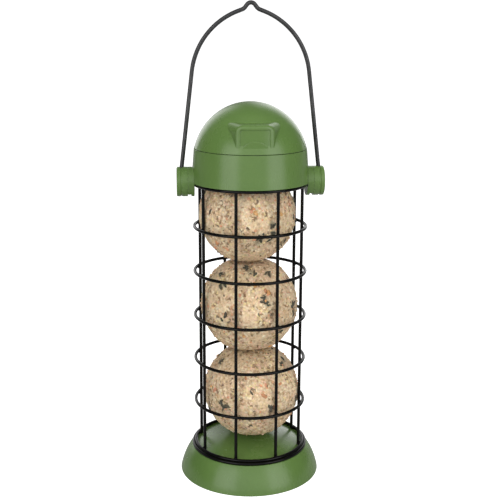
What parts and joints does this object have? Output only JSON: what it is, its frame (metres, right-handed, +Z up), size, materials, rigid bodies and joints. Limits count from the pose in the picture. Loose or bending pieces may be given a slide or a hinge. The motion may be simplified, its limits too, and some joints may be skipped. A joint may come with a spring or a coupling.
{
  "type": "hanging bird feeder",
  "caption": "Hanging feeder for fat balls: a wire cage between a flared base tray and a collar with a hinged domed lid, carried by a wire bail.",
  "frame": {"origin": "centre of the base tray's bottom rim", "axes": "+Z up, from the base to the hook seat; +X along the bail's pivots; the lid's thumb grip faces -Y and its hinge +Y"},
  "size_m": [0.092, 0.0908, 0.302],
  "materials": {
    "green_plastic": "satin moulded polypropylene, mid green",
    "black_coated_wire": "semi-gloss black powder coat on welded steel wire",
    "bail_wire": "satin dark grey coated steel wire",
    "hinge_steel": "plain zinc-plated steel",
    "fat_and_seed": "crumbly suet with seeds, husks and grains"
  },
  "bodies": {
    "feeder_body": {"base_tray": "green_plastic", "cage_foot_ring": "black_coated_wire", "cage_hoop_1": "black_coated_wire", "cage_hoop_2": "black_coated_wire", "cage_hoop_3": "black_coated_wire", "cage_hoop_4": "black_coated_wire", "cage_hoop_5": "black_coated_wire", "cage_hoop_6": "black_coated_wire", "cage_hoop_7": "black_coated_wire", "cage_upright_1": "black_coated_wire", "cage_upright_2": "black_coated_wire", "cage_upright_3": "black_coated_wire", "cage_upright_4": "black_coated_wire", "cage_upright_5": "black_coated_wire", "cage_upright_6": "black_coated_wire", "cage_upright_7": "black_coated_wire", "cage_upright_8": "black_coated_wire", "collar": "green_plastic", "lid_hinge_pin": "hinge_steel"},
    "bail": {"bail_wire": "bail_wire", "pivot_cap_left": "green_plastic", "pivot_cap_right": "green_plastic"},
    "lid": {"lid_dome": "green_plastic"},
    "fat_ball_lower": {"fat_ball_lower": "fat_and_seed"},
    "fat_ball_middle": {"fat_ball_middle": "fat_and_seed"},
    "fat_ball_upper": {"fat_ball_upper": "fat_and_seed"}
  },
  "joints": [
    {"name": "bail_swing", "type": "hinge", "parent": "feeder_body", "child": "bail", "pos_m": [0, 0, 0.1926], "axis": [1, 0, 0], "range_deg": [-158, 158]},
    {"name": "lid_open", "type": "hinge", "parent": "feeder_body", "child": "lid", "pos_m": [0, 0.0384, 0.2133], "axis": [-1, 0, 0], "range_deg": [0, 100]},
    {"name": "lower_ball_lift", "type": "slide", "parent": "feeder_body", "child": "fat_ball_lower", "axis": [0, 0, 1], "range_m": [0, 0.008]},
    {"name": "middle_ball_lift", "type": "slide", "parent": "fat_ball_lower", "child": "fat_ball_middle", "axis": [0, 0, 1], "range_m": [0, 0.008]},
    {"name": "upper_ball_lift", "type": "slide", "parent": "fat_ball_middle", "child": "fat_ball_upper", "axis": [0, 0, 1], "range_m": [0, 0.008]}
  ]
}
